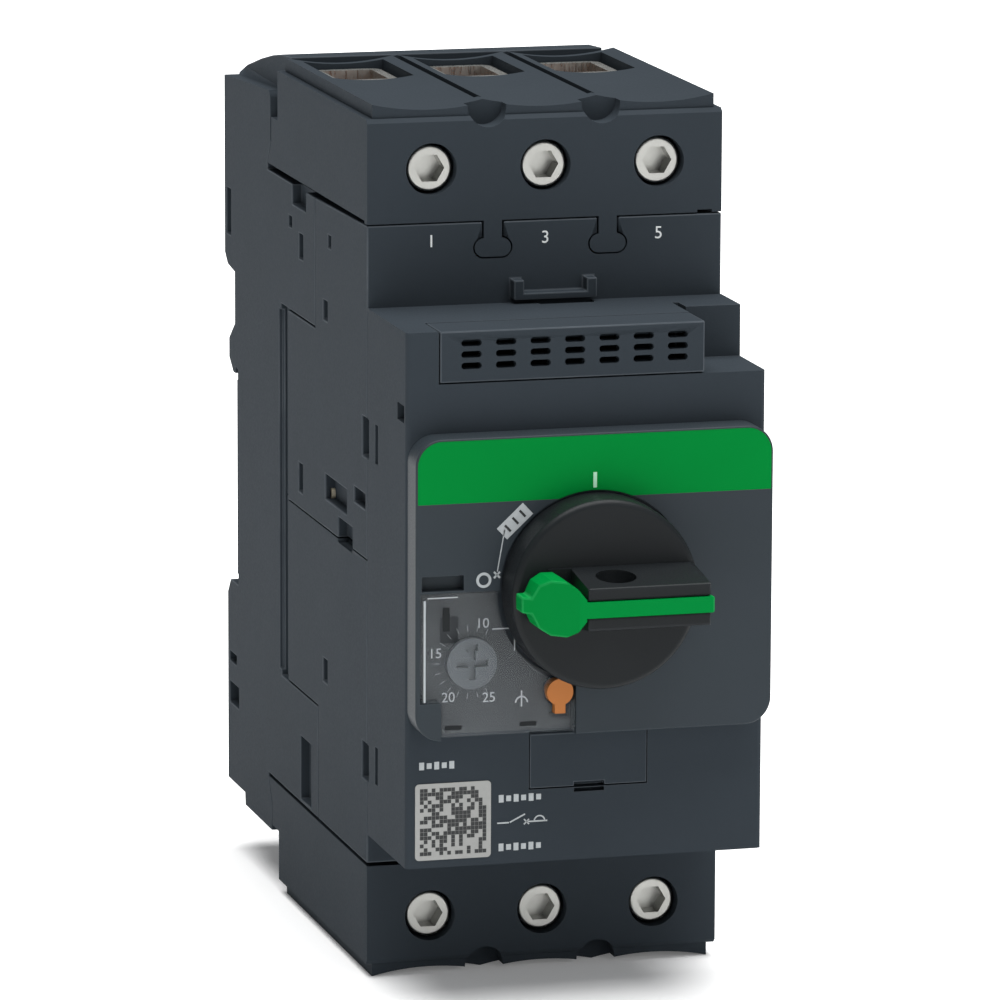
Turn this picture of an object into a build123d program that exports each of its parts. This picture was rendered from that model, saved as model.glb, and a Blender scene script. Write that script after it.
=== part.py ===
from build123d import *
import os
from math import cos, radians, sin, sqrt, tan

# Three-pole rotary motor protection breaker, in millimetres.
# Frame: the origin is the centre of the seat that rests on a 35 mm mounting rail.
# +Z is up, -Y is the front with the handle, +X is to the right of a person facing it.
# Depths are measured forward from the rail seat, so a depth d lies at y = -d.

# ---------------------------------------------------------------- driving sizes
width = 55.0
side_margin = 1.05            # from the outer poles' cells to the side faces
wall = 2.2                    # moulded shell wall
shell_gap = 0.3               # shadow gap between neighbouring shells
play = 0.3                    # clearance round parts that move
fit = 0.05                    # radial clearance of shafts in their holes

# depths, forward of the rail seat
body_depth = 83.7             # front face of the terminal blocks and the body
cover_depth = 106.9           # front face of the cover
step_depth = 93.8             # recessed corner of the cover, upper right
fascia_thickness = 4.8
disc_thickness = 6.2          # handle disc, proud of the fascia
grip_projection = 9.7         # grip bar, proud of the disc
upper_foot = 8.4              # rear faces of the feet, behind the rail seat
lower_foot = 7.0

# heights, from the rail's centreline
body_top = 52.8
body_bottom = -43.9
base_top = 63.9
cover_top = 41.0
cover_bottom = -39.4
step_height = 33.2
fascia_top = 25.9
fascia_bottom = -19.2
band_bottom = 16.3
handle_z = 2.8
body_split = 2.7              # between the contact housing and the trip housing
block_height = 15.3           # terminal blocks
block_gap = 1.1
rim_rise = 2.1                # raised platform of each block, above its shoulder
trough = 1.0                  # hollow of the platform over each pole
upper_screw_inset = 7.7       # terminal screws, from a block's outer face
lower_screw_inset = 7.1
screw_recess = 1.2            # screw heads, below the block's front face

# mounting rail
rail_height = 35.0
rail_thickness = 1.0
hook_lip = 1.1
latch_bite = 1.2
seat_half = 15.8              # half height of the raised seat face
seat_relief = 0.5

# terminals
well_width = 12.8
well_rear = 30.1              # depth of the cable well's rear wall
well_front = 49.0
cage_wall = 1.5
cage_length = 13.5
cage_height = 15.0
screw_head_radius = 3.5
screw_head_length = 5.0
screw_shank_radius = 2.5
hex_size = 4.0
cage_gap = 1.0                # between a cage and its well
bar_gap = 0.4                 # between a terminal bar and its cage
bar_thickness = 2.5

# contacts
contact_z = 16.5              # centreline of the contact bridges
bridge_half = 14.0
tip_offset = 11.0
tip_radius = 2.5
tip_height = 1.2
spring_length = 9.0

# handle and drive
disc_radius = 14.2
grip_half_front = 3.1
grip_half_rear = 4.4
grip_left = -9.0
grip_right = 13.0
shackle_radius = 3.0
shaft_size = 6.0
cam_radius = 11.0
cam_hub_radius = 5.0
cam_tilt = 17.8               # degrees between the cam's end face and its axis plane

# setting panel
dial_radius = 3.8
button_radius = 2.0
button_gap = 2.24             # from the disc's edge to the button's centre
button_angle = 18.43          # degrees, from straight below the handle
lid_thickness = 1.2

# ---------------------------------------------------------------- derived values
half = width / 2
inner_half = half - wall
pole_pitch = (width - 2 * side_margin) / 3
poles = (-pole_pitch, 0.0, pole_pitch)
rod_half = 1.5
rod_x = pole_pitch / 2
fascia_depth = cover_depth + fascia_thickness
disc_depth = fascia_depth + disc_thickness
grip_depth = disc_depth + grip_projection
fascia_half = half - 0.2
upper_split = body_top + block_gap
lower_split = body_bottom - block_gap / 2
bar_width = well_width - 2 * (cage_gap + cage_wall + bar_gap)
button_x = -(disc_radius + button_gap) * sin(radians(button_angle))
button_z = handle_z - (disc_radius + button_gap) * cos(radians(button_angle))
tail_low = fascia_bottom + 3.2       # lower end of the button's tail

os.makedirs("parts", exist_ok=True)


# ---------------------------------------------------------------- helpers
def block(x, depth, z, mode=Mode.ADD):
    """Box between limits in x, in depth and in z."""
    center = (sum(x) / 2, -sum(depth) / 2, sum(z) / 2)
    with Locations(center):
        Box(abs(x[1] - x[0]), abs(depth[1] - depth[0]), abs(z[1] - z[0]), mode=mode)


def rod(x, z, depth, radius, mode=Mode.ADD):
    """Round bar or hole along Y between two depths."""
    with Locations(Location((x, -sum(depth) / 2, z), (90, 0, 0))):
        Cylinder(radius, abs(depth[1] - depth[0]), mode=mode)


def cross_rod(x, depth, z, radius, mode=Mode.ADD):
    """Round bar or hole along X between two x limits."""
    with Locations(Location((sum(x) / 2, -depth, z), (0, 90, 0))):
        Cylinder(radius, abs(x[1] - x[0]), mode=mode)


def lobe(x, z, size, depth, mode=Mode.ADD):
    """Slab along Y with half-round ends in x."""
    with BuildSketch(Plane.XZ.offset(depth[0])) as outline:
        with Locations((x, z)):
            SlotOverall(*size)
    extrude(to_extrude=outline.sketch, amount=depth[1] - depth[0], mode=mode)


def side_slab(points, x, mode=Mode.ADD):
    """Slab along X whose side view is the outline of (depth, z) points."""
    with BuildSketch(Plane.YZ.offset(x[0])) as outline:
        with BuildLine():
            Polyline(*[(-depth, z) for depth, z in points], close=True)
        make_face()
    extrude(to_extrude=outline.sketch, amount=x[1] - x[0], mode=mode)


def front_slab(sketch_points, depth, mode=Mode.ADD):
    """Slab along Y whose front view is the outline of (x, z) points."""
    with BuildSketch(Plane.XZ.offset(depth[0])) as outline:
        with BuildLine():
            Polyline(*sketch_points, close=True)
        make_face()
    extrude(to_extrude=outline.sketch, amount=depth[1] - depth[0], mode=mode)


def coil_spring(radius, wire, length, turns, plane):
    """Helical spring that grows from a plane along its normal."""
    with BuildPart() as spring:
        with BuildLine() as path:
            Helix(length / turns, length, radius)
        with BuildSketch(Plane(origin=path.line @ 0, z_dir=path.line % 0)):
            Circle(wire)
        sweep(is_frenet=True)
    return plane * spring.part


def keep(builder, name):
    """Label a finished sub-part and write its file."""
    builder.part.label = name
    export_step(builder.part, f"parts/{name}.step")


# ---------------------------------------------------------------- rear base
# The base carries the rail hook at the top of the seat and the latch channel below it. Its two
# arms reach forward over and under the middle housings.
arm_depth_top = 51.4
arm_depth_bottom = 53.1
arm_top_z = 33.0
arm_bottom_z = -26.3
base_front = 29.6
base_neck = 22.9
neck_z = upper_split + 7.5 - play
base_bottom = body_bottom - 9.0
hook_z = rail_height / 2 + 0.2
hook_rear = 5.6
channel_half = 6.2
channel_near = 1.1
channel_far = 4.5
channel_hidden = hook_z - 0.3
ramp_top = upper_split + block_height + rim_rise - 0.2
ramp_inset = 2.4
mark_sink = 1.6               # pockets and slots in the side faces

with BuildPart() as rear_base:
    side_slab(
        [
            (-upper_foot, base_top), (base_neck, base_top + 1.6), (base_neck, neck_z - 3.7),
            (20.7, upper_split + 0.3), (20.7, body_top), (arm_depth_top, body_top),
            (arm_depth_top, arm_top_z), (base_front, arm_top_z), (base_front, arm_bottom_z),
            (arm_depth_bottom, arm_bottom_z), (arm_depth_bottom, body_bottom),
            (20.7, body_bottom), (20.7, lower_split - 0.3), (base_neck, lower_split - 4.1),
            (base_neck, base_bottom), (4.9, base_bottom),
            (4.6, base_bottom + 2.0), (-lower_foot, base_bottom + 2.0),
            (-lower_foot, -hook_z - 2.4), (-5.0, -hook_z), (seat_relief, -hook_z),
            (seat_relief, -seat_half), (0, -seat_half), (0, seat_half),
            (seat_relief, seat_half), (seat_relief, hook_z),
            (-rail_thickness - play, hook_z), (-rail_thickness - play, hook_z - hook_lip),
            (-2.8, hook_z - hook_lip), (-hook_rear, hook_z + 0.9), (-hook_rear, hook_z + 4.1),
            (-1.6, hook_z + 7.0), (-1.6, arm_top_z), (-6.5, arm_top_z + 0.6),
            (-upper_foot, arm_top_z + 2.2),
        ],
        (-half, half),
    )
    fillet(rear_base.edges().filter_by(Axis.X).sort_by(Axis.Z)[-1:], 1.0)
    side_slab(
        [
            (wall - upper_foot, base_top - wall), (18.5, base_top - wall),
            (18.5, body_top - wall), (60, body_top - wall), (60, body_bottom + wall),
            (20.5, body_bottom + wall), (20.5, base_bottom + wall), (6.8, base_bottom + wall),
            (wall, base_bottom + wall + 4), (wall, 36.0), (wall - upper_foot, 36.0),
        ],
        (-inner_half, inner_half),
        Mode.SUBTRACT,
    )
    # ramp that leads cables up to the terminal block's platform
    side_slab(
        [
            (-8.0, base_top - 1.0), (-8.0, base_top + 0.3), (-2.0, 66.3), (6.9, 68.4),
            (14.0, 69.8), (20.0, 70.7), (26.9, ramp_top), (26.9, base_top + 0.8),
            (base_neck, base_top + 0.8), (base_neck, base_top - 1.0),
        ],
        (-half + ramp_inset, half - ramp_inset),
    )
    for x in (-rod_x, rod_x):
        block((x - 0.7, x + 0.7), (wall - 0.5, 28.0), (body_bottom + wall, body_top - wall))
        block((x - 0.8, x + 0.8), (12.0, 28.5), (contact_z - 5.5, contact_z + 5.5), Mode.SUBTRACT)
    for x in poles:
        conductor = (x - bar_width / 2 - play, x + bar_width / 2 + play)
        for z in (body_top, body_bottom):
            block(conductor, (39.6, 43.1), (z - wall - 0.1, z + wall + 0.1), Mode.SUBTRACT)
        rod(x, contact_z, (wall - 0.5, 6.0), 2.0)
    block((-channel_half, channel_half), (-channel_far, -channel_near),
          (base_bottom - 1, -channel_hidden), Mode.SUBTRACT)
    block((-3.5, 3.5), (-channel_far, -channel_near), (-43.8, -41.2))
    for x in (-half, half):
        block((x - 0.6, x + 0.6), (base_front, base_front - 1.2),
              (arm_bottom_z + 1, arm_top_z - 1), Mode.SUBTRACT)
        for near, far, bottom, top in (
            (-7.0, -4.0, 38.5, 46.0), (-5.8, 0.6, -38.1, -34.6), (-5.8, -1.0, -31.2, -29.6),
            (42.0, 48.8, -43.4, -33.3), (41.2, 44.0, 41.9, 45.9), (34.6, 36.8, 45.9, 47.7),
            (37.0, 45.8, 49.7, body_top + 1),
        ):
            block((x - mark_sink, x + mark_sink), (near, far), (bottom, top), Mode.SUBTRACT)
    for x in (-half + 6.5, half - 6.5):
        for z in (body_top - 8.0, body_bottom + 8.0):
            rod(x, z, (-upper_foot - 1, wall + 1), 1.7, Mode.SUBTRACT)
keep(rear_base, "rear_base")

# ---------------------------------------------------------------- middle housings
groove_front = base_front + 4.4
groove_sink = 0.9
shaft_hole = cam_hub_radius + 0.5
trip_axis_depth = 57.0
trip_axis_z = 8.0
journal_radius = 1.2


def side_marks(limits):
    """Shallow pockets and slots in both side faces, as (depth, depth, z, z)."""
    for near, far, low, high in limits:
        for x in (-half, half):
            block((x - mark_sink, x + mark_sink), (near, far), (low, high), Mode.SUBTRACT)


def groove_tongues(low, high):
    """Set-back continuation of the side walls that closes the groove behind a housing."""
    for inside, outside in ((-half + groove_sink, -inner_half), (inner_half, half - groove_sink)):
        block((inside, outside), (base_front + shell_gap, groove_front + 1), (low, high))


with BuildPart() as contact_housing:
    side_slab(
        [
            (groove_front, body_split + 0.1), (groove_front, arm_top_z - shell_gap),
            (arm_depth_top + shell_gap, arm_top_z - shell_gap),
            (arm_depth_top + shell_gap, body_top), (body_depth, body_top + 0.5),
            (body_depth, body_split + 0.1),
        ],
        (-half, half),
    )
    block((-inner_half, inner_half), (0, body_depth - wall), (0, body_top - wall), Mode.SUBTRACT)
    groove_tongues(body_split + 0.1, arm_top_z - shell_gap)
    # keyhole sockets that the upper terminal block's tabs drop into
    for x in (-pole_pitch / 2 + 0.7, pole_pitch / 2 + 0.9):
        block((x - 1.7, x + 1.7), (body_depth - 2.4, body_depth + 1),
              (body_top - 2.6, body_top + 1), Mode.SUBTRACT)
        lobe(x, body_top - 3.4, (6.1, 3.3), (body_depth - 2.4, body_depth + 1), Mode.SUBTRACT)
    # U-shaped lip for clip-on accessories
    block((-5.4, 7.5), (body_depth, body_depth + 2.2), (cover_top + 0.6, cover_top + 1.6))
    for x in (-5.4, 5.9):
        block((x, x + 1.6), (body_depth, body_depth + 2.2), (cover_top + 0.6, cover_top + 3.6))
    rod(0, handle_z, (body_depth - wall - 1, body_depth + 1), shaft_hole, Mode.SUBTRACT)
    cross_rod((-inner_half - 1.4, inner_half + 1.4), trip_axis_depth, trip_axis_z,
              journal_radius + fit, Mode.SUBTRACT)
    side_marks([
        (56.6, 59.4, 34.9, 38.0), (40.8, 43.6, 5.3, 9.9), (57.9, 71.3, 7.3, 11.2),
        (75.8, 82.5, 10.2, 12.6), (59.6, 61.6, 46.4, 48.4), (66.0, 74.8, 0, 6.0),
        (80.7, body_depth + 1, 18.2, 24.3),
    ])
keep(contact_housing, "contact_housing")

with BuildPart() as trip_housing:
    side_slab(
        [
            (groove_front, body_split - 0.1), (groove_front, arm_bottom_z + shell_gap),
            (arm_depth_bottom + shell_gap, arm_bottom_z + shell_gap),
            (arm_depth_bottom + shell_gap, body_bottom), (body_depth, body_bottom),
            (body_depth, body_split - 0.1),
        ],
        (-half, half),
    )
    block((-inner_half, inner_half), (0, body_depth - wall), (body_bottom + wall, 20),
          Mode.SUBTRACT)
    groove_tongues(arm_bottom_z + shell_gap, body_split - 0.1)
    rod(0, handle_z, (body_depth - wall - 1, body_depth + 1), shaft_hole, Mode.SUBTRACT)
    rod(button_x, button_z, (body_depth - wall - 1, body_depth + 1), 1.6, Mode.SUBTRACT)
    side_marks([
        (66.0, 74.8, 2.1, 6.0), (56.4, 59.2, -21.5, -17.8),
        (80.7, body_depth + 1, -31.2, -25.5),
    ])
keep(trip_housing, "trip_housing")

# ---------------------------------------------------------------- terminal blocks
well_half = well_width / 2
screw_depth = body_depth - screw_recess


def screw_line(split, side):
    """Height of a row's terminal screws."""
    inset = upper_screw_inset if side > 0 else lower_screw_inset
    return split + side * (block_height - inset)


def terminal_block(split, side):
    """Block that shrouds one row of terminals, growing from its split line to one side."""
    outer = split + side * block_height
    screw_z = screw_line(split, side)
    with BuildPart() as shroud:
        side_slab(
            [
                (body_depth, split), (body_depth, outer), (27.6, outer),
                (27.6, split + side * 7.5), (23.4, split + side * 7.5),
                (23.4, split + side * 3.8), (21.2, split + side * 0.4), (21.2, split),
            ],
            (-half, half),
        )
        corner = shroud.edges().filter_by(Axis.X).group_by(Axis.Y)[0].sort_by(Axis.Z)
        chamfer(corner[-1] if side > 0 else corner[0], 0.6)
        # raised platform, hollowed over each pole to lead the cable in
        for x in poles:
            left, right = x - pole_pitch / 2, x + pole_pitch / 2
            with BuildSketch(Plane.XZ.offset(28.6)) as saddle:
                with BuildLine():
                    ThreePointArc((left, outer + side * rim_rise),
                                  (x, outer + side * (rim_rise - trough)),
                                  (right, outer + side * rim_rise))
                    Polyline((right, outer + side * rim_rise), (right, outer - side * 0.5),
                             (left, outer - side * 0.5), (left, outer + side * rim_rise))
                make_face()
            extrude(to_extrude=saddle.sketch, amount=body_depth - side_margin - 28.6)
        for x in poles:
            cell = (x - well_half, x + well_half)
            block(cell, (well_rear, well_front), (split - side, outer + side * 4), Mode.SUBTRACT)
            rod(x, screw_z, (well_front - 1, body_depth + 1), screw_shank_radius + fit,
                Mode.SUBTRACT)
            rod(x, screw_z, (screw_depth - screw_head_length - 0.2, body_depth + 1),
                screw_head_radius + 0.4, Mode.SUBTRACT)
        for x in (-pole_pitch / 2, pole_pitch / 2):
            # half-round pocket in the front edge and a slit between the poles
            rod(x, outer + side * 1.3, (body_depth - 3.5, body_depth + 1), 3.0, Mode.SUBTRACT)
            block((x - 0.6, x + 0.6), (29.5, 77.4), (outer - side * 3, outer + side * 4),
                  Mode.SUBTRACT)
        if side > 0:
            # lip over the gap below the block, open at a small window on the right
            block((-half, half), (body_depth - 1.6, body_depth), (body_top + 0.7, split + 0.5))
            block((half - 3.8, half - 1.5), (body_depth - 2.6, body_depth + 1),
                  (body_top + 0.6, split), Mode.SUBTRACT)
            # keyhole tabs that lock the block to the housing below
            for x in (-pole_pitch / 2 + 0.7, pole_pitch / 2 + 0.9):
                block((x - 1.4, x + 1.4), (body_depth - 2.0, body_depth),
                      (body_top - 2.6, split + 1))
                lobe(x, body_top - 3.4, (5.6, 2.8), (body_depth - 2.0, body_depth))
    return shroud


upper_terminal_block = terminal_block(upper_split, 1)
keep(upper_terminal_block, "upper_terminal_block")
lower_terminal_block = terminal_block(lower_split, -1)
keep(lower_terminal_block, "lower_terminal_block")

# ---------------------------------------------------------------- front cover
cover_rear = body_depth + shell_gap
vent_left = -22.4
vent_right = 18.0
vent_return = 8.0
panel_hole = disc_radius - 7.9
flap_axis_z = -20.1
flap_axis_depth = cover_depth - 0.9
flap_pin = 0.38

with BuildPart() as front_cover:
    block((-half, half), (cover_rear, cover_depth), (cover_bottom, step_height))
    block((-half, vent_right), (cover_rear, cover_depth), (step_height, cover_top))
    block((vent_right, half), (cover_rear, step_depth), (step_height, cover_top))
    fillet(front_cover.edges().filter_by(Axis.Z).group_by(Axis.Y)[0], 0.8)
    block((-inner_half, inner_half), (0, cover_depth - wall),
          (cover_bottom + wall, step_height - wall), Mode.SUBTRACT)
    block((-inner_half, vent_right - wall), (0, cover_depth - wall),
          (step_height - wall - 1, cover_top - wall), Mode.SUBTRACT)
    block((vent_right - wall - 1, inner_half), (0, step_depth - wall),
          (step_height - wall - 1, cover_top - wall), Mode.SUBTRACT)
    block((vent_left - 0.2, vent_right + 0.1), (cover_depth - vent_return - 0.2,
          cover_depth + 1), (step_height, cover_top + 1), Mode.SUBTRACT)
    block((vent_right, vent_right + 1.0), (step_depth - 4.0, step_depth + 1),
          (step_height - 0.6, cover_top + 1), Mode.SUBTRACT)
    block((-1.5, 7.0), (cover_rear - 1, cover_rear + 2.4), (cover_top - 1.0, cover_top + 1),
          Mode.SUBTRACT)
    rod(0, handle_z, (cover_rear, cover_depth + 1), panel_hole, Mode.SUBTRACT)
    rod(button_x, button_z, (cover_rear, cover_depth + 1), 1.6, Mode.SUBTRACT)
    rod(-fascia_half + 9.0, -8.1, (cover_rear, cover_depth + 1), 2.0, Mode.SUBTRACT)
    # opening behind the accessory flap
    block((-7.4, 8.4), (cover_rear, cover_depth + 1), (-27.4, -21.2), Mode.SUBTRACT)
    block((-8.65, 9.65), (cover_depth - 1.5, cover_depth + 1), (-28.4, -19.1), Mode.SUBTRACT)
    block((-1.7, 3.0), (cover_depth - 1.4, cover_depth + 1), (-29.1, -28.5), Mode.SUBTRACT)
    cross_rod((-9.7, 10.7), flap_axis_depth, flap_axis_z, flap_pin + 0.07, Mode.SUBTRACT)
    side_marks([
        (cover_rear - 1, 84.9, 18.2, 24.3), (88.6, 90.2, 18.3, 24.3), (101.6, 105.6, 27.4, 30.0),
        (cover_rear - 1, 84.9, -31.2, -25.5), (88.6, 90.2, -30.6, -24.8),
    ])
keep(front_cover, "front_cover")

# vent grille closes the cover's upper edge with three rows of slots
slot_pitch = 5.25
with BuildPart() as vent_grille:
    grille = (vent_left, vent_right)
    block(grille, (cover_depth - 1.9, cover_depth), (step_height + 0.2, cover_top))
    block(grille, (cover_depth - vent_return, cover_depth), (cover_top - 1.9, cover_top))
    block((vent_right - 1.9, vent_right), (cover_depth - vent_return, cover_depth),
          (step_height + 0.2, cover_top))
    with BuildSketch(Plane.XZ.offset(cover_depth)):
        with Locations((-1.9, cover_top - 3.5)):
            with GridLocations(slot_pitch, 1.7, 7, 3):
                SlotOverall(3.1, 1.0)
    extrude(amount=-1.9, mode=Mode.SUBTRACT)
keep(vent_grille, "vent_grille")

# accessory flap, hinged along its upper edge on two stub pins
with BuildPart() as accessory_flap:
    block((-8.5, 9.5), (cover_depth - 1.2, cover_depth), (-28.2, -19.7))
    chamfer(accessory_flap.edges().filter_by(Axis.X).group_by(Axis.Z)[-1], 0.4)
    block((-1.7, 3.0), (cover_depth - 0.9, cover_depth + 1), (-28.3, -27.6), Mode.SUBTRACT)
    cross_rod((-9.5, 10.5), flap_axis_depth, flap_axis_z, flap_pin)
keep(accessory_flap, "accessory_flap")

# ---------------------------------------------------------------- fascia
corner_radius = 4.0
skin = 0.6                    # thickness of the green band's inlay
border = 0.3
lid_left = -fascia_half + 0.9
lid_right = -3.0
lid_low = fascia_bottom + 0.5
lid_high = handle_z
pocket_depth = 3.4
corner_width = 2.8            # solid corner of the fascia beside the lid's hinge
corner_height = 5.0
hinge_z = lid_low + 0.7
hinge_depth = fascia_depth - 1.0
lid_pin = 0.42
ring = disc_radius + 0.4
dial_x = -fascia_half + 9.0
dial_z = -8.1


def fascia_outline(inset, y_start, y_end, mode=Mode.ADD):
    """Rounded plate of the fascia's front view between two depths."""
    with BuildSketch(Plane.XZ.offset(y_start)) as outline:
        with Locations((0, (fascia_top + fascia_bottom) / 2)):
            RectangleRounded(2 * (fascia_half - inset), fascia_top - fascia_bottom - 2 * inset,
                             corner_radius - inset)
    extrude(to_extrude=outline.sketch, amount=y_end - y_start, mode=mode)


# recess for the green band at the top of the fascia
with BuildPart() as band_room:
    fascia_outline(border, fascia_depth - skin - 0.02, fascia_depth + 1)
    block((-half, half), (cover_depth, fascia_depth + 2), (fascia_bottom - 1, band_bottom),
          Mode.SUBTRACT)

with BuildPart() as green_band:
    fascia_outline(border + 0.02, fascia_depth - skin, fascia_depth)
    block((-half, half), (cover_depth, fascia_depth + 1), (fascia_bottom - 1, band_bottom),
          Mode.SUBTRACT)
    rod(0, handle_z, (cover_depth, fascia_depth + 1), ring, Mode.SUBTRACT)
keep(green_band, "green_band")

with BuildPart() as fascia:
    fascia_outline(0, cover_depth, fascia_depth)
    front = fascia.faces().sort_by(Axis.Y)[0]
    fillet(front.edges(), border)
    add(band_room.part, mode=Mode.SUBTRACT)
    rod(0, handle_z, (fascia_depth - 0.8, fascia_depth + 1), ring, Mode.SUBTRACT)
    rod(0, handle_z, (cover_depth - 1, fascia_depth + 1), panel_hole, Mode.SUBTRACT)
    # setting pocket, finger recess and the holes for the dial and the button
    block((lid_left + corner_width + 0.2, lid_right + 0.2),
          (fascia_depth - pocket_depth, fascia_depth + 1), (lid_low - 1.5, lid_high + 0.2),
          Mode.SUBTRACT)
    block((lid_left - 0.2, lid_right + 0.2), (fascia_depth - pocket_depth, fascia_depth + 1),
          (lid_low + corner_height + 0.2, lid_high + 0.2), Mode.SUBTRACT)
    cross_rod((lid_left + corner_width - 0.9, lid_right + 1.4), hinge_depth, hinge_z,
              lid_pin + 0.07, Mode.SUBTRACT)
    block((lid_left, lid_left + 6.4), (fascia_depth - 1.6, fascia_depth + 1),
          (handle_z + 0.5, handle_z + 2.8), Mode.SUBTRACT)
    rod(button_x, button_z, (cover_depth - 1, fascia_depth), 1.6, Mode.SUBTRACT)
    rod(dial_x, dial_z, (cover_depth - 1, fascia_depth), 2.0, Mode.SUBTRACT)
keep(fascia, "fascia")

# printed plate at the bottom of the setting pocket
plate_depth = fascia_depth - pocket_depth
with BuildPart() as scale_plate:
    block((lid_left, lid_right), (plate_depth, plate_depth + 0.6), (lid_low, lid_high))
    block((lid_left - 1, lid_left + corner_width + 0.3), (plate_depth - 1, fascia_depth),
          (lid_low - 1, lid_low + corner_height + 0.3), Mode.SUBTRACT)
    rod(0, handle_z, (plate_depth - 1, fascia_depth), ring, Mode.SUBTRACT)
    rod(button_x, button_z, (plate_depth - 1, fascia_depth), button_radius + 0.25, Mode.SUBTRACT)
    block((button_x - 1.1, button_x + 1.1), (plate_depth - 1, fascia_depth),
          (tail_low - 0.4, button_z), Mode.SUBTRACT)
    block((button_x, lid_right + 1), (plate_depth - 1, fascia_depth),
          (button_z, button_z + 2.5), Mode.SUBTRACT)
    rod(dial_x, dial_z, (plate_depth - 1, fascia_depth), 2.0, Mode.SUBTRACT)
keep(scale_plate, "scale_plate")

with BuildPart() as setting_dial:
    rod(dial_x, dial_z, (plate_depth + 0.9, plate_depth + 1.9), dial_radius)
    rod(dial_x, dial_z, (cover_depth - 8.0, plate_depth + 0.9), 1.7)
    for size in ((4.8, 1.0), (1.0, 4.8)):
        with Locations((dial_x, -plate_depth - 1.9, dial_z)):
            Box(size[0], 1.4, size[1], mode=Mode.SUBTRACT)
    with Locations((dial_x, -plate_depth - 1.9, dial_z + 2.4)):
        Box(1.8, 1.4, 1.0, mode=Mode.SUBTRACT)
keep(setting_dial, "setting_dial")

# transparent lid, hinged along its lower edge
lid_rear = fascia_depth - lid_thickness
with BuildPart() as dial_cover:
    block((lid_left, lid_right), (lid_rear, fascia_depth), (lid_low, lid_high))
    chamfer(dial_cover.edges().filter_by(Axis.X).group_by(Axis.Z)[0], 0.4)
    rod(0, handle_z, (lid_rear - 1, fascia_depth + 1), ring + 0.3, Mode.SUBTRACT)
    block((lid_left - 1, lid_left + corner_width + 0.4), (lid_rear - 1, fascia_depth + 1),
          (lid_low - 1, lid_low + corner_height + 0.4), Mode.SUBTRACT)
    for x in ((lid_left + corner_width - 0.7, lid_left + corner_width + 1.5),
              (lid_right - 1.0, lid_right + 1.2)):
        cross_rod(x, hinge_depth, hinge_z, lid_pin)
    rod(button_x, button_z, (lid_rear - 1, fascia_depth + 1), button_radius + 0.3, Mode.SUBTRACT)
    block((button_x - 1.3, button_x + 1.3), (lid_rear - 1, fascia_depth + 1),
          (tail_low - 0.7, button_z), Mode.SUBTRACT)
    block((button_x, lid_right + 1), (lid_rear - 1, fascia_depth + 1),
          (button_z, button_z + 2.5), Mode.SUBTRACT)
    block((lid_left + 2.8, lid_left + 5.8), (lid_rear - 1, fascia_depth + 1),
          (-4.7, -0.5), Mode.SUBTRACT)
keep(dial_cover, "dial_cover")

with BuildPart() as test_button:
    rod(button_x, button_z, (plate_depth + 1.7, fascia_depth - 0.2), button_radius)
    block((button_x - 0.8, button_x + 0.8), (plate_depth + 1.7, fascia_depth - 0.2),
          (tail_low, button_z))
    rod(button_x, button_z, (60.3, plate_depth + 1.8), 1.3)
keep(test_button, "test_button")

with BuildPart() as test_spring:
    spring_seat = Plane((button_x, -cover_depth + wall + 1.0, button_z), z_dir=(0, 1, 0))
    add(coil_spring(1.9, 0.25, 8.0, 5, spring_seat))
keep(test_spring, "test_spring")

# ---------------------------------------------------------------- handle
shaft_clear = 0.05
shaft_front = disc_depth - 1.0
lug_slot = 1.25
with BuildPart() as knob:
    rod(0, handle_z, (fascia_depth - 0.5, disc_depth), disc_radius)
    fillet(knob.edges().filter_by(GeomType.CIRCLE).group_by(Axis.Y)[0], 1.0)
    side_slab(
        [
            (disc_depth - 2, handle_z - grip_half_rear), (disc_depth, handle_z - grip_half_rear),
            (grip_depth, handle_z - grip_half_front), (grip_depth, handle_z + grip_half_front),
            (disc_depth, handle_z + grip_half_rear),
            (disc_depth - 2, handle_z + grip_half_rear),
        ],
        (grip_left, grip_right),
    )
    with Locations((0, -disc_depth - 4.7, handle_z)):
        Cylinder(shackle_radius, 20, mode=Mode.SUBTRACT)
    rod(0, handle_z, (cover_depth - 3.0, fascia_depth - 0.5), panel_hole - 0.3)
    block((-shaft_size / 2 - shaft_clear, shaft_size / 2 + shaft_clear),
          (cover_depth - 4, shaft_front + 0.5),
          (handle_z - shaft_size / 2 - shaft_clear, handle_z + shaft_size / 2 + shaft_clear),
          Mode.SUBTRACT)
    # slot for the locking lug along the front of the grip and through its left end
    block((-15, grip_right + 1), (grip_depth - 1.5, grip_depth + 1),
          (handle_z - lug_slot, handle_z + lug_slot), Mode.SUBTRACT)
    block((-15, -5.6), (disc_depth + 0.3, grip_depth + 1), (handle_z - 6, handle_z + 6),
          Mode.SUBTRACT)
keep(knob, "knob")

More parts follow.
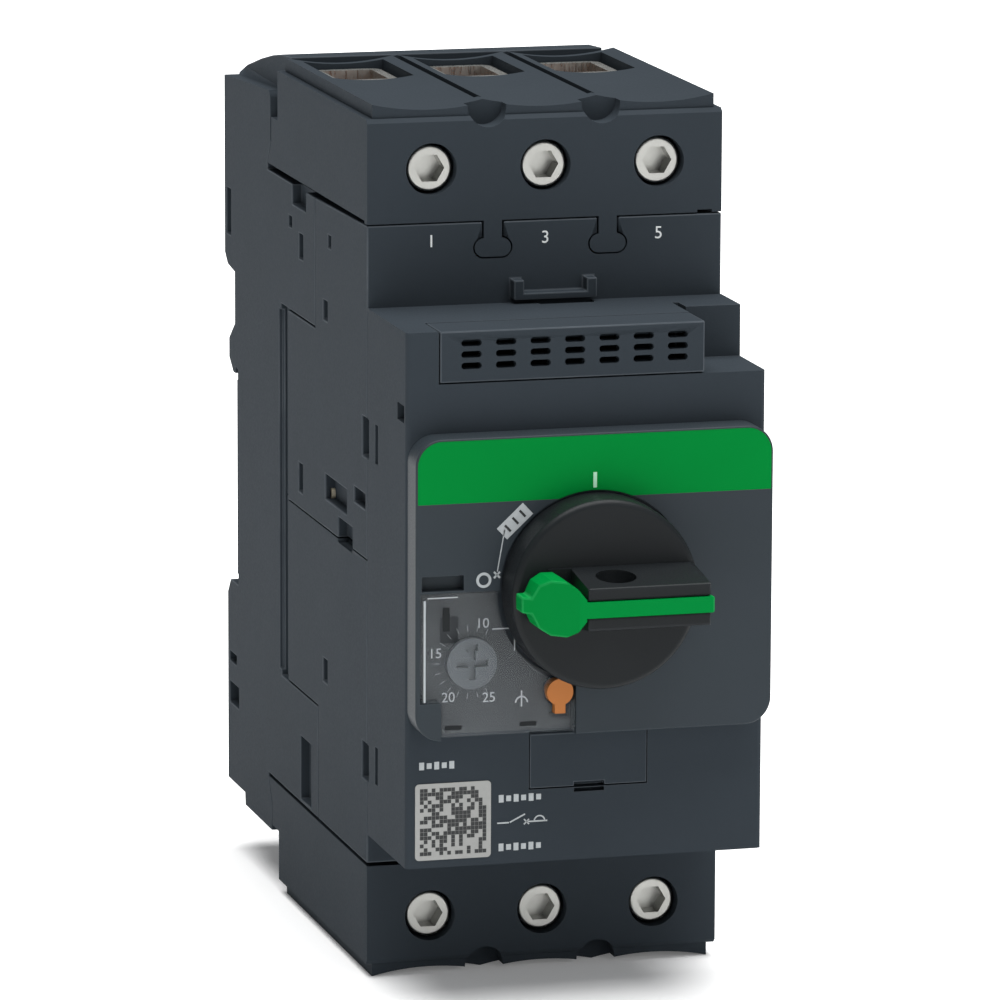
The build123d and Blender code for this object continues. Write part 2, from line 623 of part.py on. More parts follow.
# green locking lug: an arrow head on the left, a strip along the grip
lug_half = lug_slot - 0.08
with BuildPart() as lock_lug:
    block((-6.5, grip_right + 0.5), (grip_depth - 1.3, grip_depth + 0.4),
          (handle_z - lug_half, handle_z + lug_half))
    front_slab(
        [
            (-5.9, handle_z + 1.6), (-5.9, handle_z - 1.6), (-7.2, handle_z - 3.2),
            (-8.6, handle_z - 4.1), (-10.4, handle_z - 4.1), (-11.9, handle_z - 3.2),
            (-12.8, handle_z - 1.2), (-14.0, handle_z - 1.2), (-14.0, handle_z + 1.2),
            (-12.8, handle_z + 1.2), (-11.9, handle_z + 3.2), (-10.4, handle_z + 4.1),
            (-8.6, handle_z + 4.1), (-7.2, handle_z + 3.2),
        ],
        (disc_depth + 0.5, grip_depth + 0.4),
    )
    # the head slopes back towards the pointer's tip
    front_slope = [(disc_depth + 2.2, -16), (grip_depth + 0.4, -7.0), (grip_depth + 3, -7.0),
                   (grip_depth + 3, -16)]
    with BuildSketch(Plane.XY.offset(handle_z - 8)) as slope:
        with BuildLine():
            Polyline(*[(x, -depth) for depth, x in front_slope], close=True)
        make_face()
    extrude(to_extrude=slope.sketch, amount=16, mode=Mode.SUBTRACT)
keep(lock_lug, "lock_lug")

cam_face = 70.4               # mean depth of the cam's tilted rear face
cam_front = 78.7
with BuildPart() as knob_shaft:
    block((-shaft_size / 2, shaft_size / 2), (cam_front - 2.0, shaft_front),
          (handle_z - shaft_size / 2, handle_z + shaft_size / 2))
    chamfer(knob_shaft.edges().filter_by(Axis.Y), 0.4)
keep(knob_shaft, "knob_shaft")

# The cam's rear end is cut at a tilt: its high side lies towards +X and -Z in the off position.
cam_slope = tan(radians(cam_tilt))
cam_normal = (-cam_slope * sqrt(0.5), 1, cam_slope * sqrt(0.5))
with BuildPart() as drive_cam:
    rod(0, handle_z, (cam_face - 6, cam_front), cam_radius)
    split(bisect_by=Plane((0, -cam_face, handle_z), z_dir=cam_normal), keep=Keep.BOTTOM)
    rod(0, handle_z, (cam_front - 1, body_depth - 0.7), cam_hub_radius)
    block((-shaft_size / 2 - shaft_clear, shaft_size / 2 + shaft_clear),
          (cam_front - 2.2, body_depth),
          (handle_z - shaft_size / 2 - shaft_clear, handle_z + shaft_size / 2 + shaft_clear),
          Mode.SUBTRACT)
keep(drive_cam, "drive_cam")

# ---------------------------------------------------------------- mechanism
# steel bracket behind the front wall: it carries the cam's hub
frame_front = body_depth - wall
frame_half = 14.0
sheet = 1.5
with BuildPart() as mechanism_frame:
    block((-frame_half, frame_half), (frame_front - sheet, frame_front),
          (handle_z - 12.5, handle_z + 16))
    for x in (-frame_half, frame_half - sheet):
        block((x, x + sheet), (62.5, frame_front), (handle_z - 12.5, handle_z + 16))
    rod(0, handle_z, (frame_front - 3, frame_front + 1), cam_hub_radius + fit, Mode.SUBTRACT)
    for x in (-8.5, 8.5):
        for z in (handle_z - 10.0, handle_z + 13.5):
            rod(x, z, (frame_front - 3, frame_front + 1), 1.3, Mode.SUBTRACT)
keep(mechanism_frame, "mechanism_frame")

# contact carrier: crossbar in front of the bridges, push rod and follower on the cam
carrier_rear = 16.0
with BuildPart() as contact_carrier:
    block((-pole_pitch - 3.0, pole_pitch + 3.0), (carrier_rear, carrier_rear + 4.0),
          (contact_z - 4.0, contact_z + 4.0))
    block((rod_x - rod_half, rod_x + rod_half), (carrier_rear, 65.0),
          (contact_z - rod_half, contact_z + rod_half))
    block((rod_x - rod_half, rod_x + rod_half), (62.0, 65.0),
          (handle_z - rod_half, contact_z + rod_half))
    rod(rod_x, handle_z, (64.0, 66.5), rod_half)
    with Locations((rod_x, -66.5, handle_z)):
        Sphere(rod_half)
keep(contact_carrier, "contact_carrier")

# trip bar across the poles: one tab in front of each magnet and heater, one for the test button
tab_rear = 50.4
with BuildPart() as trip_bar:
    cross_rod((-inner_half + play, inner_half - play), trip_axis_depth, trip_axis_z, 2.5)
    cross_rod((-inner_half - 1.1, inner_half + 1.1), trip_axis_depth, trip_axis_z,
              journal_radius)
    for x in poles:
        block((x - 3, x + 3), (tab_rear, trip_axis_depth), (trip_axis_z - 1, trip_axis_z + 2))
        block((x - 3, x + 3), (tab_rear, tab_rear + 1.6), (trip_axis_z - 1, 19.0))
    block((button_x - 2, button_x + 2), (trip_axis_depth - 1, trip_axis_depth + 2.0),
          (button_z - 2.0, trip_axis_z))
keep(trip_bar, "trip_bar")

# ---------------------------------------------------------------- rail latch
latch_half = channel_half - 0.2
latch_near = channel_near + 0.2
latch_far = channel_far - 0.2
peg_top = -41.2
window_top = -28.0
with BuildPart() as rail_latch:
    block((-latch_half, latch_half), (-latch_far, -latch_near),
          (base_bottom - 6.0, -rail_height / 2 + latch_bite))
    block((-3.8, 3.8), (-latch_far - 1, -latch_near + 1), (-47.6, window_top), Mode.SUBTRACT)
    block((-latch_half, latch_half), (-lower_foot - 1.5, -latch_near),
          (base_bottom - 6.0, base_bottom - 4.5))
    nose = rail_latch.edges().filter_by(Axis.X).group_by(Axis.Z)[-1].sort_by(Axis.Y)[-1]
    chamfer(nose, 1.0)
keep(rail_latch, "rail_latch")

with BuildPart() as latch_spring:
    add(coil_spring(1.1, 0.25, window_top - peg_top - 0.7, 8,
                    Plane((0, (latch_near + latch_far) / 2, peg_top + 0.35), z_dir=(0, 0, 1))))
keep(latch_spring, "latch_spring")

# ---------------------------------------------------------------- terminals, one set per pole
bar_rear = well_rear + 10.0
bar_front = bar_rear + bar_thickness
cage_rear = well_rear + 1.0
fixed_rear = 22.4
fixed_front = fixed_rear + bar_thickness


def clamp_cage(x, split, side):
    """Steel loop, open along Z, that the terminal screw draws forward onto the cable."""
    low, high = split + side * 0.7, split + side * (0.7 + cage_height)
    outer_half = well_half - cage_gap
    with BuildPart() as cage:
        block((x - outer_half, x + outer_half), (cage_rear, cage_rear + cage_length), (low, high))
        fillet(cage.edges().filter_by(Axis.Z), 2.0)
        block((x - outer_half + cage_wall, x + outer_half - cage_wall),
              (cage_rear + cage_wall, cage_rear + cage_length - cage_wall),
              (low - 1, high + 1) if side > 0 else (high - 1, low + 1), Mode.SUBTRACT)
        rod(x, screw_line(split, side), (cage_rear + 6, cage_rear + cage_length + 1),
            screw_shank_radius + fit, Mode.SUBTRACT)
    return cage


def clamp_screw(x, split, side):
    """Captive socket screw, head towards the front."""
    z = screw_line(split, side)
    with BuildPart() as screw:
        rod(x, z, (screw_depth - screw_head_length, screw_depth), screw_head_radius)
        fillet(screw.edges().filter_by(GeomType.CIRCLE).group_by(Axis.Y)[0], 0.5)
        rod(x, z, (bar_front + 0.4, screw_depth - 1), screw_shank_radius)
        with BuildSketch(Plane.XZ.offset(screw_depth)) as socket:
            with Locations((x, z)):
                RegularPolygon(hex_size / 2, 6, major_radius=False)
        extrude(to_extrude=socket.sketch, amount=-3.0, mode=Mode.SUBTRACT)
    return screw


for number, x in enumerate(poles, start=1):
    bar = (x - bar_width / 2, x + bar_width / 2)
    for row, split, side in (("line", upper_split, 1), ("load", lower_split, -1)):
        keep(clamp_cage(x, split, side), f"{row}_cage_{number}")
        keep(clamp_screw(x, split, side), f"{row}_screw_{number}")

    # line side: terminal bar, a step over the arc chute and the fixed contact
    with BuildPart() as line_conductor:
        side_slab(
            [
                (bar_front, upper_split + cage_height), (bar_rear, upper_split + cage_height),
                (bar_rear, 38.0), (fixed_rear, 38.0), (fixed_rear, contact_z + 7.5),
                (fixed_front, contact_z + 7.5), (fixed_front, 35.5), (bar_front, 35.5),
            ],
            bar,
        )
        rod(x, contact_z + tip_offset, (fixed_rear - tip_height, fixed_rear), tip_radius)
    keep(line_conductor, f"line_conductor_{number}")

    # load side: terminal bar with the ledge that the heater strip stands on
    with BuildPart() as load_conductor:
        side_slab(
            [
                (bar_front, lower_split - cage_height), (bar_rear, lower_split - cage_height),
                (bar_rear, -27.0), (49.5, -27.0), (49.5, -29.5), (bar_front, -29.5),
            ],
            bar,
        )
    keep(load_conductor, f"load_conductor_{number}")

    # bridge that joins the two fixed contacts
    with BuildPart() as contact_bridge:
        block((x - 4, x + 4), (carrier_rear - 2.2, carrier_rear - 0.2),
              (contact_z - bridge_half, contact_z + bridge_half))
        for z in (contact_z - tip_offset, contact_z + tip_offset):
            rod(x, z, (carrier_rear - 0.2, carrier_rear - 0.2 + tip_height), tip_radius)
    keep(contact_bridge, f"contact_bridge_{number}")

# ---------------------------------------------------------------- magnets and heaters
coil_rear = 28.0
coil_front = 44.5
flange_radius = pole_pitch / 2 - rod_half - 0.7
core_radius = 2.2
wire_radius = 0.9

for number, x in enumerate(poles, start=1):
    with BuildPart() as plunger:
        rod(x, contact_z, (coil_rear - 1.0, coil_front + 4.0), core_radius)
    keep(plunger, f"plunger_{number}")

    with BuildPart() as coil:
        seat = Plane((x, -coil_rear - 2.2, contact_z), z_dir=(0, -1, 0))
        add(coil_spring(flange_radius - 1.6, wire_radius, coil_front - coil_rear - 4.4, 5, seat))
    keep(coil, f"coil_{number}")

with BuildPart() as bobbins:
    for x in poles:
        rod(x, contact_z, (coil_rear, coil_front), flange_radius - 2.7)
        for depth in (coil_rear, coil_front - 1.0):
            rod(x, contact_z, (depth, depth + 1.0), flange_radius)
        rod(x, contact_z, (coil_rear - 1, coil_front + 1), core_radius + fit, Mode.SUBTRACT)
keep(bobbins, "bobbins")

yoke_top = contact_z + flange_radius + 1.9
with BuildPart() as magnet_yokes:
    for x in poles:
        yoke = (x - 5.5, x + 5.5)
        block(yoke, (coil_rear - 1.7, coil_rear - 0.1), (contact_z - 7, yoke_top))
        block(yoke, (coil_front + 0.1, coil_front + 1.7), (contact_z - 7, yoke_top))
        block(yoke, (coil_rear - 1.7, coil_front + 1.7), (yoke_top - 1.5, yoke_top))
        rod(x, contact_z, (coil_rear - 3, coil_front + 3), core_radius + 0.3, Mode.SUBTRACT)
keep(magnet_yokes, "magnet_yokes")

with BuildPart() as heater_strips:
    for x in poles:
        block((x - 2.5, x + 2.5), (47.2, 48.4), (-27.0, 12.0))
keep(heater_strips, "heater_strips")

with BuildPart() as load_contacts:
    for x in poles:
        side_slab(
            [
                (fixed_rear, contact_z - 7.5), (fixed_front, contact_z - 7.5),
                (fixed_front, -2.5), (46.9, -2.5), (46.9, -5.0), (fixed_rear, -5.0),
            ],
            (x - bar_width / 2, x + bar_width / 2),
        )
        rod(x, contact_z - tip_offset, (fixed_rear - tip_height, fixed_rear), tip_radius)
keep(load_contacts, "load_contacts")

with BuildPart() as contact_springs:
    for x in poles:
        seat = Plane((x, -carrier_rear + 2.5, contact_z), z_dir=(0, 1, 0))
        add(coil_spring(2.5, 0.3, spring_length - 0.9, 5, seat))
keep(contact_springs, "contact_springs")

# de-ion plates between two side walls, above and below each bridge
plate_gap = 2.6
with BuildPart() as arc_chutes:
    for x in poles:
        for low, high in ((contact_z + 16.5, contact_z + 31.5), (contact_z - 31.5,
                          contact_z - 16.5)):
            for edge in (x - 7.0, x + 6.0):
                block((edge, edge + 1.0), (3.6, 20.4), (low, high))
            for step in range(6):
                depth = 4.6 + step * plate_gap
                block((x - 6.5, x + 6.5), (depth, depth + 1.0), (low + 0.5, high - 0.5))
keep(arc_chutes, "arc_chutes")

# ---------------------------------------------------------------- screws and label
# four screws tie the base to the middle housings, from the rear
with BuildPart() as housing_screws:
    for x in (-half + 6.5, half - 6.5):
        for z in (body_top - 8.0, body_bottom + 8.0):
            top = z > 0
            rod(x, z, (-upper_foot + 0.8 if top else -5.0, 1.0), 1.6)
keep(housing_screws, "housing_screws")

with BuildPart() as rating_label:
    with BuildSketch(Plane.XZ.offset(cover_depth)):
        with Locations((-half + 7.2, -32.4)):
            RectangleRounded(11.6, 11.6, 0.6)
    extrude(amount=0.12)
keep(rating_label, "rating_label")
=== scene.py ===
# %% [markdown]
# # A three-pole motor protection breaker
# The breaker is a stack of dark glass-filled nylon mouldings with a raised front plate, a rotary
# handle, a small setting panel under a clear lid and two rows of shrouded screw terminals.
# The solid model already holds every part in its place, so this lesson gives the parts their
# looks: rounded mould edges, printed marks, plated steel and the grain of each plastic.

import math

import bmesh
import bpy
from mathutils import Matrix, Vector


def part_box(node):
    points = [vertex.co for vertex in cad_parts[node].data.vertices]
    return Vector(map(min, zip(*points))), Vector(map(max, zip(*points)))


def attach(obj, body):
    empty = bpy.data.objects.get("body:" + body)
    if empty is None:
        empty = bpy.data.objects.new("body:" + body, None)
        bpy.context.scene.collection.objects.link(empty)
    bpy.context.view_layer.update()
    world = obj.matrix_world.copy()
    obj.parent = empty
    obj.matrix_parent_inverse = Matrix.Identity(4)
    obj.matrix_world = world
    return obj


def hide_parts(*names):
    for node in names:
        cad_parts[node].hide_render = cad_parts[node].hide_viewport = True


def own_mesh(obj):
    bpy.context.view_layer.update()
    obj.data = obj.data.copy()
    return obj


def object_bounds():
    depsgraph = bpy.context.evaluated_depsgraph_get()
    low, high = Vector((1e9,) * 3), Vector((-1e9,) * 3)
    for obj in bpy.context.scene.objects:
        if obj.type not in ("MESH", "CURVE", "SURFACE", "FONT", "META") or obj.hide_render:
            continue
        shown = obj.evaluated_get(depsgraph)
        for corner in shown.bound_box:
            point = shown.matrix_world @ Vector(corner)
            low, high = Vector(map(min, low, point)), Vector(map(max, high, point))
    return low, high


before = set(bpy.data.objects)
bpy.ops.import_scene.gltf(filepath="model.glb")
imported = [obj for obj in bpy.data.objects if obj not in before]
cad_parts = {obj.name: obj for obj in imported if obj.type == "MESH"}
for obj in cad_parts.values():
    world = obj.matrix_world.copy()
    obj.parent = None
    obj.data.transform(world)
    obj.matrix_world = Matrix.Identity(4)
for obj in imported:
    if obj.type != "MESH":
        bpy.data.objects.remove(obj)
cad_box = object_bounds()

# %% [markdown]
# ## Places
# Places are taken from the boxes of the solid parts, so that a print stays on its part. The
# handle's axis is the middle of its round disc, and the poles are the middles of the three upper
# terminal screws.

# %% Places taken from the solid parts
MM = 0.001
NUMBERED_FACE_SETBACK = 2.2 * MM


def low(node):
    return Vector(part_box(node)[0])


def high(node):
    return Vector(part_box(node)[1])


def middle(node):
    return (low(node) + high(node)) / 2


cover_y = low("front_cover").y
fascia_y = low("fascia").y
terminal_y = low("contact_housing").y + NUMBERED_FACE_SETBACK
handle = Vector((0, 0, (low("knob").z + high("knob").z) / 2))
dial = middle("setting_dial")
poles = [middle(f"line_screw_{n}").x for n in (1, 2, 3)]
print("front at", round(cover_y / MM, 1), "mm, handle at", round(handle.z / MM, 1), "mm")

# %% [markdown]
# ## Colour and shader helpers
# Colours are written as the sRGB values a person reads off a swatch. Blender works in linear
# light, so one function converts them. Another adds a shader node with its settings and links.


# %% Helpers for materials
def linear(hex_colour):
    """Linear RGBA from an sRGB hex value such as '3A3F44'."""
    channels = [int(hex_colour[i:i + 2], 16) / 255 for i in (0, 2, 4)]
    return [c / 12.92 if c <= 0.04045 else ((c + 0.055) / 1.055) ** 2.4 for c in channels] + [1]


def add_node(tree, kind, settings=None, inputs=None):
    """Adds a node. Settings are its properties; inputs are values or sockets to link from."""
    node = tree.nodes.new(kind)
    for key, value in (settings or {}).items():
        setattr(node, key, value)
    for key, value in (inputs or {}).items():
        if isinstance(value, bpy.types.NodeSocket):
            tree.links.new(value, node.inputs[key])
        else:
            node.inputs[key].default_value = value
    return node


def new_material(name):
    """An empty node material with its Principled shader and output."""
    material = bpy.data.materials.new(name)
    material.use_nodes = True
    tree = material.node_tree
    tree.nodes.clear()
    shader = add_node(tree, "ShaderNodeBsdfPrincipled")
    output = add_node(tree, "ShaderNodeOutputMaterial")
    tree.links.new(shader.outputs[0], output.inputs[0])
    return material, tree, shader


# %% [markdown]
# ## Moulded plastic
# The housings are flame-retardant nylon with glass fibre. The steel mould was spark-eroded, which
# leaves a fine pebbled grain of a third of a millimetre that scatters light into a satin sheen.
# One function makes every plastic of the breaker: two close shades mixed by a slow cloud
# pattern, a grain bump, a roughness that varies with the grain, and a painted highlight: a
# lighter edge colour, patchy with the clouds, on the rounded edge faces that the mesh flags.


# %% Moulded plastic
def moulded(name, colour, shade, rough, grain_mm=0.35, grain_depth=0.03, edge="6A7076",
            edge_share=0.35, ior=1.53, gloss=0.25):
    """Spark-eroded moulded plastic with a painted highlight on its rounded edges."""
    material, tree, shader = new_material(name)
    place = add_node(tree, "ShaderNodeTexCoord")
    clouds = add_node(tree, "ShaderNodeTexNoise", None, {
        "Vector": place.outputs["Object"], "Scale": 1 / (14 * MM), "Detail": 4.0,
        "Roughness": 0.6})
    grain = add_node(tree, "ShaderNodeTexNoise", None, {
        "Vector": place.outputs["Object"], "Scale": 1 / (grain_mm * MM), "Detail": 2.0})
    base = add_node(tree, "ShaderNodeMix", {"data_type": "RGBA"}, {
        0: clouds.outputs[0], 6: linear(colour), 7: linear(shade)})
    # Painted highlight: edge faces flagged by the rounding get the lighter edge colour, patchy with
    # the clouds.
    painted_edge_highlight = add_node(tree, "ShaderNodeAttribute", {"attribute_name": "painted_edge_highlight"})
    patchy = add_node(tree, "ShaderNodeMapRange", None, {
        0: clouds.outputs[0], 1: 0.35, 2: 0.65, 3: edge_share * 0.4, 4: edge_share})
    painted_highlight_amount = add_node(tree, "ShaderNodeMath", {"operation": "MULTIPLY"}, {
        0: painted_edge_highlight.outputs["Fac"], 1: patchy.outputs[0]})
    mixed = add_node(tree, "ShaderNodeMix", {"data_type": "RGBA"}, {
        0: painted_highlight_amount.outputs[0], 6: base.outputs[2], 7: linear(edge)})
    roughness = add_node(tree, "ShaderNodeMapRange", None, {
        0: grain.outputs[0], 1: 0.3, 2: 0.7, 3: rough - 0.05, 4: rough + 0.05})
    bump = add_node(tree, "ShaderNodeBump", None, {
        "Height": grain.outputs[0], "Strength": 0.35, "Distance": grain_depth * MM})
    tree.links.new(mixed.outputs[2], shader.inputs["Base Color"])
    tree.links.new(roughness.outputs[0], shader.inputs["Roughness"])
    tree.links.new(bump.outputs[0], shader.inputs["Normal"])
    shader.inputs["IOR"].default_value = ior
    shader.inputs["Specular IOR Level"].default_value = gloss
    return material


charcoal = moulded("charcoal_glass_filled_nylon", "31373D", "2D3338", 0.7, gloss=0.04)
fascia_grey = moulded("charcoal_satin_fascia", "2D3339", "293034", 0.5, 0.3, 0.02, gloss=0.12)
# The handle's black also paints shade marks on the lid.
handle_black_and_slot_shade = moulded("black_handle_nylon_and_painted_slot_shade", "191C1E", "15181A", 0.42, 0.3, 0.02, "26292C",
                       gloss=0.12)
band_green = moulded("green_polycarbonate", "007730", "00722D", 0.4, 0.5, 0.01, "2FA562",
                      0.2, gloss=0.02)
lug_green = moulded("green_lug_nylon", "007733", "007230", 0.4, 0.4, 0.01, "43B573", 0.2,
                    gloss=0.02)
button_orange = moulded("orange_button_acetal", "AE6C38", "A46531", 0.36, 0.4, 0.01, "E8A36B",
                        0.2, 1.48, 0.15)
natural = moulded("natural_nylon", "CFC7B2", "C4BBA4", 0.45, 0.5, 0.01, "DDD6C6", 0.2)
dial_grey = moulded("dial_grey_acetal", "50555A", "484D52", 0.4, 0.3, 0.01, "70757A")
plate_grey = moulded("setting_plate_polycarbonate", "2F3337", "2B2F33", 0.5, 0.3, 0.01)
print("plastics ready")

# %% [markdown]
# ## Metals
# The terminal screws and cages are zinc-plated steel: a light, slightly warm grey with a soft
# sheen and fine turning marks. Copper bars and springs use the same recipe with other colours.


# %% Plated metal
def plated(name, colour, shade, rough, brush_mm=0.25, stretch=(1, 1, 1)):
    """Metal with fine marks stretched along one axis."""
    material, tree, shader = new_material(name)
    place = add_node(tree, "ShaderNodeTexCoord")
    turn = add_node(tree, "ShaderNodeMapping", None, {
        "Vector": place.outputs["Object"], "Scale": stretch})
    marks = add_node(tree, "ShaderNodeTexNoise", None, {
        "Vector": turn.outputs[0], "Scale": 1 / (brush_mm * MM), "Detail": 3.0})
    tone = add_node(tree, "ShaderNodeTexNoise", None, {
        "Vector": place.outputs["Object"], "Scale": 1 / (5 * MM), "Detail": 3.0})
    base = add_node(tree, "ShaderNodeMix", {"data_type": "RGBA"}, {
        0: tone.outputs[0], 6: linear(colour), 7: linear(shade)})
    roughness = add_node(tree, "ShaderNodeMapRange", None, {
        0: marks.outputs[0], 1: 0.3, 2: 0.7, 3: rough - 0.06, 4: rough + 0.08})
    bump = add_node(tree, "ShaderNodeBump", None, {
        "Height": marks.outputs[0], "Strength": 0.25, "Distance": 0.01 * MM})
    tree.links.new(base.outputs[2], shader.inputs["Base Color"])
    tree.links.new(roughness.outputs[0], shader.inputs["Roughness"])
    tree.links.new(bump.outputs[0], shader.inputs["Normal"])
    shader.inputs["Metallic"].default_value = 1.0
    return material


zinc = plated("zinc_plated_screw_steel", "ADADA9", "9C9C98", 0.34)
cage_zinc = plated("zinc_plated_cage_steel", "DEDED9", "CFCFCA", 0.3, 0.3, (1, 1, 0.15))
sheet_zinc = plated("zinc_plated_sheet_steel", "B4B6B8", "A6A8AA", 0.38, 0.3, (1, 0.2, 1))
spring_wire = plated("drawn_spring_wire", "B9BBBD", "A8AAAC", 0.3, 0.2)
copper = plated("bare_copper", "C98866", "BB7A58", 0.34, 0.3, (1, 1, 0.2))
bimetal = plated("rolled_bimetal", "B39A74", "A38B66", 0.36, 0.3, (1, 1, 0.2))
print("metals ready")

# %% [markdown]
# ## Print, paper and the clear lid
# White marks are pad-printed ink, which is matt and never quite even. The rating label is coated
# paper. The lid is a smoke-tinted polycarbonate that mostly shows as a lighter veil over the
# setting panel, with reflections on its edges.


# %% Ink, paper and the lid
def printed(name, colour, shade, rough):
    """Thin matt ink or paper with slight unevenness."""
    material, tree, shader = new_material(name)
    place = add_node(tree, "ShaderNodeTexCoord")
    speckle = add_node(tree, "ShaderNodeTexNoise", None, {
        "Vector": place.outputs["Object"], "Scale": 1 / (0.4 * MM), "Detail": 3.0})
    base = add_node(tree, "ShaderNodeMix", {"data_type": "RGBA"}, {
        0: speckle.outputs[0], 6: linear(colour), 7: linear(shade)})
    tree.links.new(base.outputs[2], shader.inputs["Base Color"])
    shader.inputs["Roughness"].default_value = rough
    return material


ink = printed("pad_printed_ink", "D5D8D8", "BFC3C4", 0.55)
# This pale ink also paints the highlight along the lid's edges.
pale_ink_and_lid_highlight = printed("pad_printed_ink_pale_and_painted_lid_highlight", "A6ABAD", "969B9E", 0.55)
green_ink = printed("pad_printed_ink_on_green", "A9D5B8", "97C9A9", 0.5)
paper = printed("coated_label_paper", "949593", "8B8C8A", 0.5)
black_ink = printed("label_black_ink", "17191A", "202325", 0.6)

lid_clear, lid_tree, lid_shader = new_material("smoke_tinted_polycarbonate")
lid_place = add_node(lid_tree, "ShaderNodeTexCoord")
lid_haze = add_node(lid_tree, "ShaderNodeTexNoise", None, {
    "Vector": lid_place.outputs["Object"], "Scale": 1 / (3 * MM), "Detail": 3.0})
lid_rough = add_node(lid_tree, "ShaderNodeMapRange", None, {
    0: lid_haze.outputs[0], 1: 0.3, 2: 0.7, 3: 0.12, 4: 0.22})
lid_tree.links.new(lid_rough.outputs[0], lid_shader.inputs["Roughness"])
lid_shader.inputs["Base Color"].default_value = linear("8C9296")
lid_shader.inputs["Alpha"].default_value = 0.07
lid_shader.inputs["IOR"].default_value = 1.585
lid_shader.inputs["Specular IOR Level"].default_value = 0.35
print("print and lid ready")

# %% [markdown]
# ## Dressing the solid parts
# Each solid part already has one material slot. A part whose shape is right keeps its mesh, and
# only its finish is set here. The table below pairs every finish with the parts that have it.

# %% Finishes on the solid parts
POLES = (1, 2, 3)
finishes = {
    charcoal: ["rear_base", "contact_housing", "trip_housing", "front_cover",
               "upper_terminal_block", "lower_terminal_block", "vent_grille", "accessory_flap"],
    fascia_grey: ["fascia"],
    band_green: ["green_band"],
    plate_grey: ["scale_plate"],
    dial_grey: ["setting_dial"],
    lid_clear: ["dial_cover"],
    button_orange: ["test_button"],
    handle_black_and_slot_shade: ["knob", "rail_latch"],
    lug_green: ["lock_lug"],
    paper: ["rating_label"],
    natural: ["drive_cam", "contact_carrier", "trip_bar", "bobbins"],
    sheet_zinc: ["knob_shaft", "mechanism_frame", "magnet_yokes", "arc_chutes"]
                + [f"plunger_{n}" for n in POLES],
    spring_wire: ["test_spring", "latch_spring", "contact_springs"],
    cage_zinc: [f"{end}_cage_{n}" for end in ("line", "load") for n in POLES],
    zinc: ["housing_screws"] + [f"{end}_screw_{n}" for end in ("line", "load") for n in POLES],
    copper: ["load_contacts"] + [f"{kind}_{n}" for n in POLES for kind in
                                 ("line_conductor", "load_conductor", "contact_bridge", "coil")],
    bimetal: ["heater_strips"],
}
dressed = 0
for material, nodes in finishes.items():
    for node in nodes:
        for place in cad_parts[node].material_slots:
            place.material = material
        dressed += 1
print(dressed, "parts dressed of", len(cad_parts))

# %% [markdown]
# ## Rounded mould edges
# A moulded shell never has a knife edge: the steel mould is cut with small radii so that it fills
# and releases, and the rim of every wall catches a thin line of light. Each shell is a copy of its
# solid part. Its mesh is merged and its flat faces joined, then the sharp edges that have room are
# rounded, and the new faces are flagged for the plastic's painted highlight, a lighter edge colour.
# On the front cover, the fascia, the lid and the setting dial, crowded edges clamp the rounding to
# less than a tenth of a millimetre wide. The two terminal blocks keep their solid meshes: their
# pockets and screw holes crowd the front face too much to round.

# %% Helpers for new pieces
INK = 0.025 * MM
WELD = 1e-6
FLAT_ANGLE = math.radians(1)
CREASE_ANGLE = math.radians(20)


def make_piece(name, mesh, body):
    """An object in the scene for a mesh that is already in place, riding on a body."""
    piece = bpy.data.objects.new(name, mesh)
    bpy.context.scene.collection.objects.link(piece)
    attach(piece, body)
    return piece


def rounded(node, body, material, radius, sharp=38):
    """Copy of a solid part with its sharp edges rounded, standing for that part."""
    shape = bmesh.new()
    shape.from_mesh(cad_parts[node].data)
    bmesh.ops.remove_doubles(shape, verts=shape.verts, dist=WELD)
    bmesh.ops.dissolve_limit(shape, angle_limit=FLAT_ANGLE, verts=shape.verts,
                             edges=shape.edges)
    rim = shape.faces.layers.float.new("painted_edge_highlight")
    before = shape.calc_volume()
    room = 2.3 * radius * MM
    roomy = {v for v in shape.verts if all(e.calc_length() > room for e in v.link_edges)}
    edges = [e for e in shape.edges if len(e.link_faces) == 2
             and e.calc_face_angle(0) > math.radians(sharp)
             and e.verts[0] in roomy and e.verts[1] in roomy]
    faces = bmesh.ops.bevel(shape, geom=edges, offset=radius * MM, segments=2, profile=0.6,
                            affect="EDGES", clamp_overlap=True)["faces"]
    # The new rounded faces are flagged for the plastic's painted edge highlight.
    for face in faces:
        face[rim] = 1.0
    bmesh.ops.triangulate(shape, faces=[f for f in shape.faces if len(f.verts) > 4])
    bmesh.ops.dissolve_degenerate(shape, edges=shape.edges, dist=1e-7)
    mesh = bpy.data.meshes.new(f"{node}_rounded")
    shape.to_mesh(mesh)
    after = shape.calc_volume()
    shape.free()
    mesh.materials.append(material)
    mesh.shade_smooth()
    mesh.set_sharp_from_angle(angle=CREASE_ANGLE)
    piece = make_piece(f"{node}_rounded", mesh, body)
    flat = piece.modifiers.new("flat_faces", "WEIGHTED_NORMAL")
    flat.mode, flat.weight, flat.keep_sharp = "FACE_AREA", 80, True
    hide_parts(node)
    print(node, len(edges), "edges,", round(before * 1e9, 1), "to", round(after * 1e9, 1), "mm3")
    return piece


# %% Rounded shells and handle
for node in ("rear_base", "contact_housing", "trip_housing", "front_cover", "vent_grille"):
    rounded(node, "housing", charcoal, 0.22)
rounded("accessory_flap", "accessory_flap", charcoal, 0.12)
rounded("fascia", "housing", fascia_grey, 0.15)
rounded("knob", "knob", handle_black_and_slot_shade, 0.3)
rounded("lock_lug", "lock_lug", lug_green, 0.3)
rounded("dial_cover", "dial_cover", lid_clear, 0.3)
rounded("setting_dial", "setting_dial", dial_grey, 0.12)
